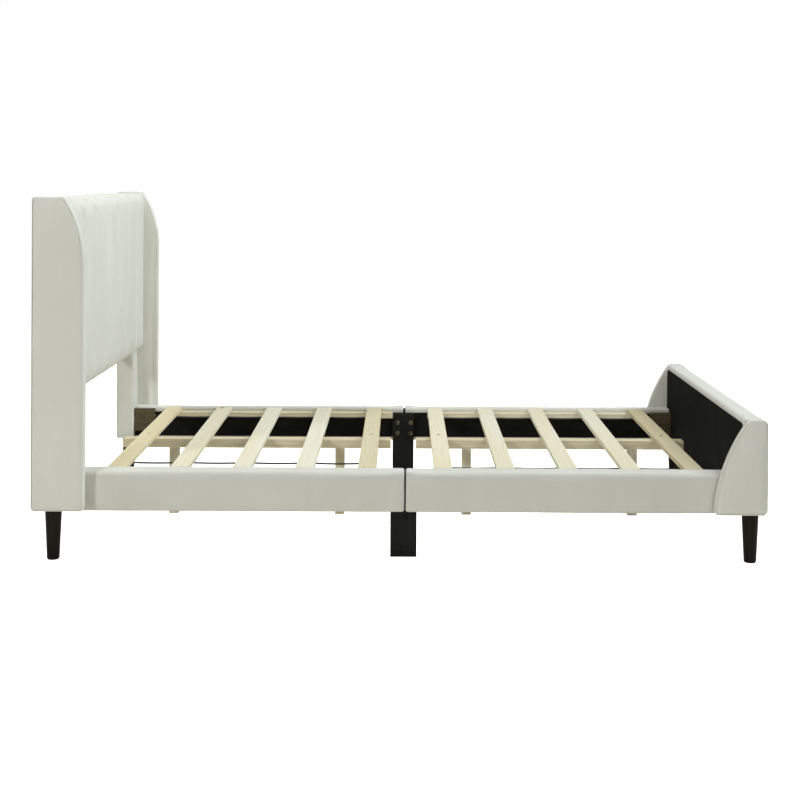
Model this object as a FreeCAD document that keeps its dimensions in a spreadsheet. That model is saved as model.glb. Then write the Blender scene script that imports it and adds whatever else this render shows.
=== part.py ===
import FreeCAD, Part
import math
import os
import Sketcher

# Upholstered headboard bed for a mattress of 990 x 1905 mm.
# Its frame: +X from the head to the foot, +Y to the sleeper's left, +Z up, and the origin on the floor
# under the bed's middle.

SIZES = {
    # whole bed
    "bed_length": 2114,
    "bed_width": 1184,
    "head_height": 1050,
    "foot_height": 418,
    "head_underside": 150,
    "foot_underside": 145,
    "padding": 8,
    "skin": 2,
    # wings of the headboard and the footboard
    "head_wing_thickness": 42,
    "foot_wing_thickness": 28,
    "head_depth": 152,
    "head_curve_step": 58,
    "head_curve_drop": 200,
    "foot_depth": 154,
    "foot_curve_radius": 510,
    "foot_curve_below": 30,
    # headboard panel and its two stiles
    "panel_bottom": 461,
    "panel_top_drop": 4,
    "panel_depth": 105,
    "panel_round": 32,
    "panel_board": 40,
    "back_cover": 3,
    "post_from_back": 18,
    "post_depth": 62,
    "post_width": 77,
    "stile_rise": 260,
    # footboard
    "foot_thickness": 64,
    "foot_round": 14,
    "foot_lining_drop": 16,
    "foot_lining_round": 26,
    # side rails
    "rail_thickness": 50,
    "rail_height": 119,
    "rail_bottom": 142,
    "rail_core": 36,
    "rail_round": 12,
    "rail_split": 15,
    "lining": 1,
    "lining_margin": 12,
    "cleat_depth": 30,
    "cleat_height": 19,
    "block_length": 75,
    "block_depth": 18,
    "block_height": 80,
    "head_block_drop": 6,
    "foot_block_drop": 13,
    # leg boards at mid length
    "board_width": 77,
    "board_shift": 4,
    "board_thickness": 18,
    "board_height": 240,
    # turned legs
    "leg_top": 49,
    "leg_bottom": 36,
    "leg_inset": 60,
    "head_leg_from_back": 53,
    "foot_leg_from_back": 41,
    "glide": 3,
    # slat decks
    "slat_width": 54,
    "slat_thickness": 14,
    "slat_drop": 1,
    "slat_gap": 3,
    "slat_pitch": 183.5,
    "slat_round": 2,
    "head_slat_offset": 111,
    "foot_slat_offset": 112,
    "beam_width": 42,
    "beam_height": 28,
    "head_beam_gap": 46,
    "foot_beam_gap": 37,
    "beam_length": 880,
    "centre_leg": 30,
    "centre_leg_inset": 167,
    "strap_width": 20,
    "strap_thickness": 1,
    "head_strap_offset": 366,
    "foot_strap_offset": 418,
    "far_strap_offset": 372,
    # bolts and screws
    "bolt": 8,
    "bolt_hole": 8.6,
    "bolt_head": 16,
    "bolt_head_height": 5,
    "bolt_spacing": 48,
    "bolt_rise": 38,
    "bolt_lower": 171,
    "leg_bolt_length": 50,
    "corner_bolt_length": 112,
    "corner_bolt_inset": 10,
    "stud_length": 60,
    "screw": 4.5,
    "screw_head": 9,
    "screw_head_height": 1.5,
    "screw_length": 36,
}
SIDES = {"left": 1, "right": -1}
ENDS = {"head": -1, "foot": 1}
SLATS_PER_DECK = 5

doc = FreeCAD.newDocument("HeadboardBed")
sheet = doc.addObject("Spreadsheet::Sheet", "Sizes")
for row, (alias, value) in enumerate(SIZES.items(), start=1):
    sheet.set(f"A{row}", alias)
    sheet.set(f"B{row}", str(value))
    sheet.setAlias(f"B{row}", alias)
doc.recompute()

nodes = []


def expression(text):
    """Writes the sheet's name before each alias in a short expression."""
    words = text.replace("(", "( ").replace(")", " )").split()
    return " ".join(f"Sizes.{word}" if word in SIZES else word for word in words)


def bind(piece, sizes):
    for name, text in sizes.items():
        piece.setExpression(name, expression(text))


def place(piece, low):
    bind(piece, {f"Placement.Base.{axis}": text for axis, text in zip("xyz", low)})


def number(text):
    return float(sheet.evalExpression(expression(text)))


def node(piece, label):
    """Names a finished sub-part, which is written to a file of that name."""
    piece.Label = label
    nodes.append(piece)
    return piece


def block(name, low, size):
    piece = doc.addObject("Part::Box", name)
    bind(piece, dict(zip(("Length", "Width", "Height"), size)))
    place(piece, low)
    return piece


def rod(name, start, direction, diameter, length):
    """A cylinder from a start point along X, Y or Z, or along the negative of one of them."""
    piece = doc.addObject("Part::Cylinder", name)
    bind(piece, {"Radius": f"({diameter}) / 2", "Height": length})
    piece.Placement.Rotation = FreeCAD.Rotation(FreeCAD.Vector(0, 0, 1), FreeCAD.Vector(*direction))
    place(piece, start)
    return piece


def cut(name, base, tool):
    piece = doc.addObject("Part::Cut", name)
    piece.Base = base
    piece.Tool = tool
    return piece


def group(name, pieces):
    piece = doc.addObject("Part::Compound", name)
    piece.Links = pieces
    return piece


def across(side, inner, width):
    """Low Y of a piece that starts at a distance from the middle plane, on one side of it."""
    return inner if side > 0 else f"0 - ({inner}) - ({width})"


def mirrored(side, distance):
    return distance if side > 0 else f"0 - ({distance})"


def arc(start, end, radius):
    """A counter-clockwise arc of less than half a turn."""
    chord = end - start
    rise = math.sqrt(radius**2 - (chord.Length / 2) ** 2)
    centre = (start + end) / 2 + FreeCAD.Vector(-chord.y, chord.x, 0).normalize() * rise
    first = math.atan2(start.y - centre.y, start.x - centre.x)
    last = math.atan2(end.y - centre.y, end.x - centre.x)
    return Part.ArcOfCircle(Part.Circle(centre, FreeCAD.Vector(0, 0, 1), radius), first, last)


def outline(body, plane, corners, arcs):
    """A closed counter-clockwise sketch on one of the body's planes; arcs gives the arc after a corner."""
    sketch = body.newObject("Sketcher::SketchObject", f"{body.Name}Outline")
    support = next(item for item in body.Origin.OriginFeatures if item.Role == plane)
    sketch.AttachmentSupport = (support, [""])
    sketch.MapMode = "FlatFace"
    points = [FreeCAD.Vector(number(u), number(v), 0) for u, v in corners]
    for index, start in enumerate(points):
        end = points[(index + 1) % len(points)]
        if index in arcs:
            sketch.addGeometry(arc(start, end, number(arcs[index])), False)
        else:
            sketch.addGeometry(Part.LineSegment(start, end), False)
    for index in range(len(points)):
        sketch.addConstraint(Sketcher.Constraint("Coincident", index, 2, (index + 1) % len(points), 1))
    for index, corner in enumerate(corners):
        for kind, axis, text in zip(("DistanceX", "DistanceY"), "xy", corner):
            value = getattr(points[index], axis)
            made = sketch.addConstraint(Sketcher.Constraint(kind, -1, 1, index, 1, value))
            sketch.setExpression(f"Constraints[{made}]", expression(text))
    for index, text in arcs.items():
        made = sketch.addConstraint(Sketcher.Constraint("Radius", index, number(text)))
        sketch.setExpression(f"Constraints[{made}]", expression(text))
    return sketch


def slab(name, plane, corners, arcs, thickness, low):
    """An outline given a thickness: along +Y from the XZ plane, along +X from the YZ plane."""
    body = doc.addObject("PartDesign::Body", name)
    sketch = outline(body, plane, corners, arcs)
    pad = body.newObject("PartDesign::Pad", f"{name}Pad")
    pad.Profile = sketch
    pad.Reversed = plane == "XZ_Plane"
    bind(pad, {"Length": thickness})
    place(body, low)
    return body


# Places that several sub-parts share.
BACK = "0 - bed_length / 2"
FOOT_FACE = "( bed_length / 2 - foot_thickness )"
INNER = "( bed_width / 2 - head_wing_thickness )"
RAIL_FACE = f"( {INNER} - rail_thickness )"
RAIL_TOP = "( rail_bottom + rail_height )"
SLAT_TOP = f"( {RAIL_TOP} - slat_drop )"
SLAT_UNDERSIDE = f"( {SLAT_TOP} - slat_thickness )"
LINING_FACE = f"( {RAIL_FACE} - lining )"
POST_BACK = f"( {BACK} + post_from_back )"
POST_FRONT = f"( {POST_BACK} + post_depth )"
PANEL_HEIGHT = "( head_height - panel_top_drop - panel_bottom )"


def head_wing(name, low_y, thickness, inset):
    """A tall board whose front edge curves back to the top in one arc."""
    radius = "( ( head_curve_step ^ 2 + head_curve_drop ^ 2 ) / ( 2 * head_curve_step ) )"
    height = "( head_height - head_underside )"
    top = (
        f"head_depth - {radius} + sqrt( ( {radius} - {inset} ) ^ 2 - ( head_curve_drop - {inset} ) ^ 2 )"
    )
    corners = [
        (inset, "0"),
        (f"head_depth - {inset}", "0"),
        (f"head_depth - {inset}", f"{height} - head_curve_drop"),
        (top, f"{height} - {inset}"),
        (inset, f"{height} - {inset}"),
    ]
    start = (BACK, low_y, "head_underside")
    return slab(name, "XZ_Plane", corners, {2: f"{radius} - {inset}"}, thickness, start)


def foot_wing(name, low_y, thickness, inset):
    """A low board whose inner edge widens to the bottom in one arc."""
    radius = f"( foot_curve_radius - {inset} )"
    height = "( foot_height - foot_underside )"
    centre = "sqrt( foot_curve_radius ^ 2 - foot_curve_below ^ 2 )"
    corners = [
        (f"{centre} - sqrt( {radius} ^ 2 - foot_curve_below ^ 2 )", "0"),
        (f"foot_depth - {inset}", "0"),
        (f"foot_depth - {inset}", f"{height} - {inset}"),
        (
            f"{centre} - sqrt( {radius} ^ 2 - ( {height} - {inset} + foot_curve_below ) ^ 2 )",
            f"{height} - {inset}",
        ),
    ]
    low = ("bed_length / 2 - foot_depth", low_y, "foot_underside")
    return slab(name, "XZ_Plane", corners, {3: radius}, thickness, low)


def turned_leg(name, x, y, top):
    """A tapered round leg with a bore in its top for a hanger bolt."""
    body = doc.addObject("PartDesign::Body", name)
    corners = [
        ("0", "glide"),
        ("leg_bottom / 2", "glide"),
        ("leg_top / 2", top),
        ("bolt_hole / 2", top),
        ("bolt_hole / 2", f"{top} - stud_length / 2"),
        ("0", f"{top} - stud_length / 2"),
    ]
    sketch = outline(body, "XZ_Plane", corners, {})
    turn = body.newObject("PartDesign::Revolution", f"{name}Turn")
    turn.Profile = sketch
    turn.ReferenceAxis = (sketch, ["V_Axis"])
    turn.Angle = 360
    place(body, (x, y, "0"))
    return body


def fastener(name, start, direction, shank, head):
    """A shank along the direction and a head the other way, each given as a diameter and a length."""
    piece = doc.addObject("Part::Fuse", name)
    piece.Base = rod(f"{name}Shank", start, direction, *shank)
    piece.Tool = rod(f"{name}Head", start, tuple(-part for part in direction), *head)
    return piece


def bolt(name, start, direction, length):
    return fastener(name, start, direction, ("bolt", length), ("bolt_head", "bolt_head_height"))


# Hanger bolts of the turned legs, and the holes that they need in the wood above them.
leg_places = {
    (end, side): (
        f"{BACK} + head_leg_from_back" if end == "head" else "bed_length / 2 - foot_leg_from_back",
        mirrored(sign, "( bed_width / 2 - leg_inset )"),
    )
    for end in ENDS
    for side, sign in SIDES.items()
}
studs = []
frame_holes = {end: [] for end in ENDS}
for (end, side), (x, y) in leg_places.items():
    start = (x, y, f"{end}_underside - stud_length / 2")
    studs.append(rod(f"Stud_{end}_{side}", start, (0, 0, 1), "bolt", "stud_length"))
    start = (x, y, f"{end}_underside")
    frame_holes[end].append(rod(f"StudHole_{end}_{side}", start, (0, 0, 1), "bolt_hole", "stud_length / 2"))
node(group("Studs", studs), "leg_hanger_bolts")


def wing_pair(end, shape):
    """Core and cover of each wing at one end of the bed, and the leg beside it."""
    thickness = f"{end}_wing_thickness"
    board = f"{thickness} - 2 * padding"
    for side, sign in SIDES.items():
        low = across(sign, INNER, thickness)
        core_low = across(sign, f"{INNER} + padding", board)
        outside = shape(f"WingOutside_{end}_{side}", low, thickness, "0")
        core = shape(f"WingCore_{end}_{side}", core_low, board, "padding")
        node(core, f"{end}_wing_core_{side}")
        node(cut(f"WingCover_{end}_{side}", outside, core), f"{end}_wing_cover_{side}")
        x, y = leg_places[end, side]
        node(turned_leg(f"Leg_{end}_{side}", x, y, f"{end}_underside"), f"{end}_leg_{side}")


wing_pair("head", head_wing)
wing_pair("foot", foot_wing)
glides = [
    rod(f"Glide_{end}_{side}", (x, y, "0"), (0, 0, 1), "leg_bottom - 4", "glide")
    for (end, side), (x, y) in leg_places.items()
]
node(group("Glides", glides), "leg_glides")

# Corner bolts run along X, two through each corner block into the headboard's stile or the footboard.
corner_bolts = []
for end, away in ENDS.items():
    start_x = f"{POST_FRONT} + block_length" if end == "head" else f"{FOOT_FACE} - lining - block_length"
    for side, sign in SIDES.items():
        y = mirrored(sign, f"( {LINING_FACE} - corner_bolt_inset )")
        for level in (1, 2):
            start = (start_x, y, f"{RAIL_TOP} - {end}_block_drop - block_height * {level} / 3")
            name = f"{end}_{side}_{level}"
            corner_bolts.append(bolt(f"CornerBolt_{name}", start, (away, 0, 0), "corner_bolt_length"))
            hole = rod(f"CornerHole_{name}", start, (away, 0, 0), "bolt_hole", "corner_bolt_length")
            frame_holes[end].append(hole)
node(group("CornerBolts", corner_bolts), "corner_bolts")
drills = {end: group(f"Drill_{end}", holes) for end, holes in frame_holes.items()}


def headboard():
    """Board and two stiles as one wooden core, inside a padded panel and two covered posts."""
    board = block(
        "PanelBoard",
        (f"{BACK} + back_cover", f"0 - {INNER} + padding", "panel_bottom + padding"),
        ("panel_board", f"2 * ( {INNER} - padding )", f"{PANEL_HEIGHT} - 2 * padding"),
    )
    wood = [board]
    for side, sign in SIDES.items():
        inner = f"( {INNER} - post_width )"
        stile = block(
            f"Stile_{side}",
            (
                f"{POST_BACK} + padding",
                across(sign, f"{inner} + padding", "post_width - 2 * padding"),
                "head_underside",
            ),
            (
                "post_depth - 2 * padding",
                "post_width - 2 * padding",
                "panel_bottom + stile_rise - head_underside",
            ),
        )
        sleeve = block(
            f"Sleeve_{side}",
            (POST_BACK, across(sign, inner, "post_width"), "head_underside"),
            ("post_depth", "post_width", "panel_bottom - head_underside"),
        )
        drilled = cut(f"DrilledSleeve_{side}", sleeve, drills["head"])
        node(cut(f"PostCover_{side}", drilled, stile), f"head_post_cover_{side}")
        wood.append(stile)
    frame = doc.addObject("Part::MultiFuse", "HeadFrame")
    frame.Shapes = wood
    node(cut("HeadboardCore", frame, drills["head"]), "headboard_core")
    corners = [
        ("0", "0"),
        ("panel_depth - panel_round", "0"),
        ("panel_depth", "panel_round"),
        ("panel_depth", f"{PANEL_HEIGHT} - panel_round"),
        ("panel_depth - panel_round", PANEL_HEIGHT),
        ("0", PANEL_HEIGHT),
    ]
    rounds = {1: "panel_round", 3: "panel_round"}
    low = (f"{BACK} + back_cover", f"0 - {INNER}", "panel_bottom")
    panel = slab("PanelOutside", "XZ_Plane", corners, rounds, f"2 * {INNER}", low)
    node(cut("HeadboardPad", panel, frame), "headboard_pad")
    back = block(
        "BackCover", (BACK, f"0 - {INNER}", "panel_bottom"), ("back_cover", f"2 * {INNER}", PANEL_HEIGHT)
    )
    node(back, "headboard_back_cover")


def footboard():
    """Wooden core, fabric cover and the black lining of its inner face."""
    height = "( foot_height - foot_underside )"
    corners = [
        ("0", "0"),
        ("foot_thickness", "0"),
        ("foot_thickness", f"{height} - foot_round"),
        ("foot_thickness - foot_round", height),
        ("0", height),
    ]
    low = (FOOT_FACE, f"0 - {INNER}", "foot_underside")
    outside = slab("FootOutside", "XZ_Plane", corners, {2: "foot_round"}, f"2 * {INNER}", low)
    core = block(
        "FootInside",
        (f"{FOOT_FACE} + skin", f"0 - {INNER}", "foot_underside"),
        ("foot_thickness - skin - padding", f"2 * {INNER}", f"{height} - padding"),
    )
    cover = cut("FootCover", outside, core)
    node(cut("FootCoverDrilled", cover, drills["foot"]), "footboard_cover")
    node(cut("FootCore", core, drills["foot"]), "footboard_core")
    width = f"( 2 * {INNER} )"
    lining_height = f"( {height} - foot_lining_drop )"
    corners = [
        ("0", "0"),
        (width, "0"),
        (width, f"{lining_height} - foot_lining_round"),
        (f"{width} - foot_lining_round", lining_height),
        ("foot_lining_round", lining_height),
        ("0", f"{lining_height} - foot_lining_round"),
    ]
    rounds = {2: "foot_lining_round", 4: "foot_lining_round"}
    low = (f"{FOOT_FACE} - lining", f"0 - {INNER}", "foot_underside")
    lining = slab("FootLining", "YZ_Plane", corners, rounds, "lining", low)
    node(cut("FootLiningDrilled", lining, drills["foot"]), "footboard_lining")


headboard()
footboard()

# First and last slat of each deck, by the X of its middle.
deck_slats = {
    "head": [
        f"( rail_split - head_slat_offset - slat_pitch * {SLATS_PER_DECK - 1 - index} )"
        for index in range(SLATS_PER_DECK)
    ],
    "foot": [f"( rail_split + foot_slat_offset + slat_pitch * {index} )" for index in range(SLATS_PER_DECK)],
}
BOARD_LOW = "( rail_split - board_shift - board_width / 2 )"
rail_span = {"head": (POST_FRONT, "rail_split"), "foot": ("rail_split", f"{FOOT_FACE} - lining")}
cleat_span = {
    "head": (f"{deck_slats['head'][0]} - slat_width / 2", BOARD_LOW),
    "foot": (f"{deck_slats['foot'][0]} - slat_width / 2", f"{deck_slats['foot'][-1]} + slat_width / 2"),
}


def leg_board(side, sign):
    """Black leg board at mid length, bolted to both halves of its rail; returns the holes of its bolts."""
    face = f"( {LINING_FACE} - board_thickness )"
    board = block(
        f"Board_{side}",
        (BOARD_LOW, across(sign, face, "board_thickness"), "0"),
        ("board_width", "board_thickness", "board_height"),
    )
    bolts = []
    holes = []
    for step in (-1, 1):
        for level in (0, 1):
            start = (
                f"rail_split + {step} * bolt_spacing / 2",
                mirrored(sign, face),
                f"bolt_lower + {level} * bolt_rise",
            )
            name = f"{side}_{step + 1}_{level}"
            direction = (0, sign, 0)
            bolts.append(bolt(f"BoardBolt_{name}", start, direction, "leg_bolt_length"))
            holes.append(rod(f"BoardHole_{name}", start, direction, "bolt_hole", "leg_bolt_length"))
    drill = group(f"BoardDrill_{side}", holes)
    node(cut(f"LegBoard_{side}", board, drill), f"middle_leg_{side}")
    return bolts, drill


def rail_half(side, sign, end, drill):
    """Core, cover and cleat of half a side rail; returns its lining."""
    low_x, high_x = rail_span[end]
    length = f"{high_x} - ( {low_x} )"
    core = block(
        f"RailInside_{side}_{end}",
        (low_x, across(sign, f"{RAIL_FACE} + skin", "rail_core"), "rail_bottom + skin"),
        (length, "rail_core", "rail_height - skin - padding"),
    )
    corners = [
        ("0", "0"),
        ("rail_thickness", "0"),
        ("rail_thickness", "rail_height - rail_round"),
        ("rail_thickness - rail_round", "rail_height"),
        ("rail_round", "rail_height"),
        ("0", "rail_height - rail_round"),
    ]
    rounds = {2: "rail_round", 4: "rail_round"}
    low = (low_x, across(sign, RAIL_FACE, "rail_thickness"), "rail_bottom")
    outside = slab(f"RailOutside_{side}_{end}", "YZ_Plane", corners, rounds, length, low)
    cover = cut(f"RailShell_{side}_{end}", outside, core)
    node(cut(f"RailCover_{side}_{end}", cover, drill), f"rail_cover_{side}_{end}")
    node(cut(f"RailCore_{side}_{end}", core, drill), f"rail_core_{side}_{end}")
    cleat_low, cleat_high = cleat_span[end]
    cleat_y = across(sign, f"{LINING_FACE} - cleat_depth", "cleat_depth")
    cleat = block(
        f"Cleat_{side}_{end}",
        (cleat_low, cleat_y, f"{SLAT_UNDERSIDE} - cleat_height"),
        (f"{cleat_high} - ( {cleat_low} )", "cleat_depth", "cleat_height"),
    )
    node(cleat, f"rail_cleat_{side}_{end}")
    return block(
        f"Lining_{side}_{end}",
        (low_x, across(sign, LINING_FACE, "lining"), "rail_bottom + lining_margin"),
        (length, "lining", "rail_height - 2 * lining_margin"),
    )


def corner_blocks(end):
    """One wooden block at each rail's end, against the headboard's stile or the footboard."""
    low_x = POST_FRONT if end == "head" else f"{FOOT_FACE} - lining - block_length"
    blocks = [
        block(
            f"Block_{end}_{side}",
            (
                low_x,
                across(sign, f"{LINING_FACE} - block_depth", "block_depth"),
                f"{RAIL_TOP} - {end}_block_drop - block_height",
            ),
            ("block_length", "block_depth", "block_height"),
        )
        for side, sign in SIDES.items()
    ]
    node(cut(f"CornerBlocks_{end}", group(f"Blocks_{end}", blocks), drills[end]), f"corner_blocks_{end}")


leg_bolts = []
for side, sign in SIDES.items():
    bolts, drill = leg_board(side, sign)
    leg_bolts += bolts
    linings = group(f"Linings_{side}", [rail_half(side, sign, end, drill) for end in ENDS])
    node(cut(f"RailLining_{side}", linings, drill), f"rail_lining_{side}")
node(group("BoardBolts", leg_bolts), "middle_leg_bolts")
for end in ENDS:
    corner_blocks(end)


def slat(count, x, drill):
    """A pine slat with eased long edges; the outer slats of a deck are drilled for their screw."""
    corners = [
        ("0", "slat_round"),
        ("slat_round", "0"),
        ("slat_width - slat_round", "0"),
        ("slat_width", "slat_round"),
        ("slat_width", "slat_thickness - slat_round"),
        ("slat_width - slat_round", "slat_thickness"),
        ("slat_round", "slat_thickness"),
        ("0", "slat_thickness - slat_round"),
    ]
    rounds = {index: "slat_round" for index in (0, 2, 4, 6)}
    half = f"( {LINING_FACE} - slat_gap )"
    low = (f"{x} - slat_width / 2", f"0 - {half}", SLAT_UNDERSIDE)
    piece = slab(f"Slat{count}", "XZ_Plane", corners, rounds, f"2 * {half}", low)
    if drill:
        piece = cut(f"Slat{count}Drilled", piece, drill)
    node(piece, f"slat_{count:02d}")


def slat_deck(end):
    """Five slats linked by two straps, screwed to half of the centre beam on its two legs."""
    away = ENDS[end]
    places = deck_slats[end]
    screws = []
    holes = []
    for index in (0, SLATS_PER_DECK - 1):
        start = (places[index], "0", SLAT_TOP)
        name = f"{end}_{index}"
        shank = ("screw", "screw_length")
        screws.append(
            fastener(f"Screw_{name}", start, (0, 0, -1), shank, ("screw_head", "screw_head_height"))
        )
        holes.append(rod(f"ScrewHole_{name}", start, (0, 0, -1), "screw + 0.2", "screw_length"))
    node(group(f"Screws_{end}", screws), f"deck_screws_{end}")
    drill = group(f"ScrewDrill_{end}", holes)
    for index, x in enumerate(places):
        first = 1 if end == "head" else 1 + SLATS_PER_DECK
        slat(first + index, x, drill if index in (0, SLATS_PER_DECK - 1) else None)

    inner_end = f"( rail_split + {away} * {end}_beam_gap )"
    low_x = inner_end if away > 0 else f"( {inner_end} - beam_length )"
    beam = block(
        f"Beam_{end}",
        (low_x, "0 - beam_width / 2", f"{SLAT_UNDERSIDE} - beam_height"),
        ("beam_length", "beam_width", "beam_height"),
    )
    node(cut(f"BeamDrilled_{end}", beam, drill), f"centre_beam_{end}")
    leg_middles = (f"{low_x} + centre_leg_inset", f"{low_x} + beam_length - centre_leg_inset")
    legs = [
        block(
            f"CentreLeg_{end}_{index}",
            (f"{middle} - centre_leg / 2", "0 - centre_leg / 2", "0"),
            ("centre_leg", "centre_leg", f"{SLAT_UNDERSIDE} - beam_height"),
        )
        for index, middle in enumerate(leg_middles)
    ]
    node(group(f"CentreLegs_{end}", legs), f"centre_legs_{end}")
    start_x = f"( {places[0]} - slat_width / 2 )"
    straps = [
        block(
            f"Strap_{end}_{side}",
            (
                start_x,
                across(sign, "far_strap_offset" if side == "left" else f"{end}_strap_offset", "strap_width"),
                f"{SLAT_UNDERSIDE} - strap_thickness",
            ),
            (f"{places[-1]} + slat_width / 2 - {start_x}", "strap_width", "strap_thickness"),
        )
        for side, sign in SIDES.items()
    ]
    node(group(f"Straps_{end}", straps), f"deck_straps_{end}")


for end in ENDS:
    slat_deck(end)

doc.recompute()
for item in doc.Objects:
    if {"Invalid", "Error"} & set(item.State):
        raise RuntimeError(f"{item.Label} failed: {item.State}")
for piece in nodes:
    if piece.Shape.isNull() or not piece.Shape.isValid():
        raise RuntimeError(f"{piece.Label} has no valid shape")
    if not piece.Shape.Solids:
        raise RuntimeError(f"{piece.Label} holds no solid")

os.makedirs("parts", exist_ok=True)
for piece in nodes:
    piece.Shape.exportStep(os.path.join("parts", f"{piece.Label}.step"))
    box = piece.Shape.BoundBox
    print(
        f"{piece.Label}: {len(piece.Shape.Solids)} solids, X {box.XMin:.1f} to {box.XMax:.1f}, "
        f"Y {box.YMin:.1f} to {box.YMax:.1f}, Z {box.ZMin:.1f} to {box.ZMax:.1f}"
    )
print(f"{len(nodes)} nodes")
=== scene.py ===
import math

import bmesh
import bpy
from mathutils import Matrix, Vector, noise


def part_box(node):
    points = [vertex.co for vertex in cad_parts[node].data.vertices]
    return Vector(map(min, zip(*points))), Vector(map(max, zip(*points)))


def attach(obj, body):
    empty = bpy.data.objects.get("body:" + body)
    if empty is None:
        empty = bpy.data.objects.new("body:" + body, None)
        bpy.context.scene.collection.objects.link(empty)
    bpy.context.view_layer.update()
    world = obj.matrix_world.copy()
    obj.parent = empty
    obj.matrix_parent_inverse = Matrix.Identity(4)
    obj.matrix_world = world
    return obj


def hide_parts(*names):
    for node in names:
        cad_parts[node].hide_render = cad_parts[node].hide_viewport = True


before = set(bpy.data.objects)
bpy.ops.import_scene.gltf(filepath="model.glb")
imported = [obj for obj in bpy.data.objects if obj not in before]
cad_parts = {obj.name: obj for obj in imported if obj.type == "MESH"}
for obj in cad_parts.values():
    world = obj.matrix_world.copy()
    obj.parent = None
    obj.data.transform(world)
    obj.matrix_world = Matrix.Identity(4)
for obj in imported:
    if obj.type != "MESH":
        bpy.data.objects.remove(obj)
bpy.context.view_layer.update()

SIDES = {"left": 1, "right": -1}
ENDS = ("head", "foot")
MM = 0.001

# Camera and light: the camera comes from a fit to the photograph's edges; powers are in watts.
CAMERA_PLACE = (0.0, -4.36, 1.1146)
CAMERA_LENS = 59.4
CAMERA_SHIFT = (-0.0017, -0.2803)
CAMERA_ROLL = math.radians(0.28)
SENSOR_WIDTH = 36
AMBIENT = 0.02
KEY_POWER = 101
FILL_POWER = 60
TOP_POWER = 52
SIDE_POWER = 49
SIDE_SPREAD = 110
COOL_WHITE = (0.9, 0.96, 1.0)

# Upholstery.
CHANNELS = 7
SEAM_DEPTH = 6 * MM
EDGE_ROUND = 9 * MM
UNDERSIDE_COVER = 1.2 * MM
HEAD_CURVE_STEP = 58 * MM
HEAD_CURVE_DROP = 200 * MM
FOOT_CURVE_RADIUS = 510 * MM
FOOT_CURVE_BELOW = 30 * MM
PANEL_ROUND = 32 * MM
HEM = 9 * MM
STITCH_PITCH = 6 * MM
THREAD_RADIUS = 0.45 * MM
STRAP_WIDTH = 20 * MM
STRAP_SAG = 1.2 * MM
RAIL_GAP = 2.2 * MM


# ---------------------------------------------------------------- materials


class Shader:
    """A material's node tree, with short calls that add and join its nodes."""

    def __init__(self, name, roughness, **settings):
        self.material = bpy.data.materials.new(name)
        self.material.use_nodes = True
        self.tree = self.material.node_tree
        self.surface = self.tree.nodes["Principled BSDF"]
        self.surface.inputs["Roughness"].default_value = roughness
        for socket, value in settings.items():
            self.surface.inputs[socket.replace("_", " ")].default_value = value
        self.place = self.tree.nodes.new("ShaderNodeTexCoord").outputs["Object"]

    def add(self, kind, output, settings=None, **inputs):
        made = self.tree.nodes.new(f"ShaderNode{kind}")
        for key, value in (settings or {}).items():
            setattr(made, key, value)
        for key, value in inputs.items():
            self.join(made.inputs[key.replace("_", " ")], value)
        return made.outputs[output]

    def join(self, socket, value):
        if isinstance(value, bpy.types.NodeSocket):
            self.tree.links.new(value, socket)
        else:
            socket.default_value = value

    def scaled(self, x, y, z, turn=0.0):
        return self.add("Mapping", "Vector", Vector=self.place, Scale=(x, y, z), Rotation=(0, 0, turn))

    def noise(self, vector, scale=1.0, detail=4.0, distortion=0.0):
        return self.add("TexNoise", "Fac", Vector=vector, Scale=scale, Detail=detail, Distortion=distortion)

    def ramp(self, value, *stops):
        """A colour ramp over (position, colour) stops; a colour may be one grey level."""
        made = self.tree.nodes.new("ShaderNodeValToRGB")
        self.join(made.inputs["Fac"], value)
        elements = made.color_ramp.elements
        while len(elements) < len(stops):
            elements.new(0.5)
        for element, (position, colour) in zip(elements, stops):
            element.position = position
            level = colour if isinstance(colour, tuple) else (colour,) * 3
            element.color = (*level, 1)
        return made.outputs["Color"]

    def math(self, operation, first, second=0.0):
        made = self.tree.nodes.new("ShaderNodeMath")
        made.operation = operation
        self.join(made.inputs[0], first)
        self.join(made.inputs[1], second)
        return made.outputs["Value"]

    def mix(self, blend, factor, first, second):
        made = self.tree.nodes.new("ShaderNodeMix")
        made.data_type = "RGBA"
        made.blend_type = blend
        self.join(made.inputs[0], factor)
        self.join(made.inputs[6], first)
        self.join(made.inputs[7], second)
        return made.outputs[2]

    def finish(self, colour=None, roughness=None, height=None, relief=0.0005, strength=1.0):
        if colour is not None:
            self.join(self.surface.inputs["Base Color"], colour)
        if roughness is not None:
            self.join(self.surface.inputs["Roughness"], roughness)
        if height is not None:
            bump = self.add("Bump", "Normal", Height=height, Distance=relief, Strength=strength)
            self.join(self.surface.inputs["Normal"], bump)
        return self.material


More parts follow.
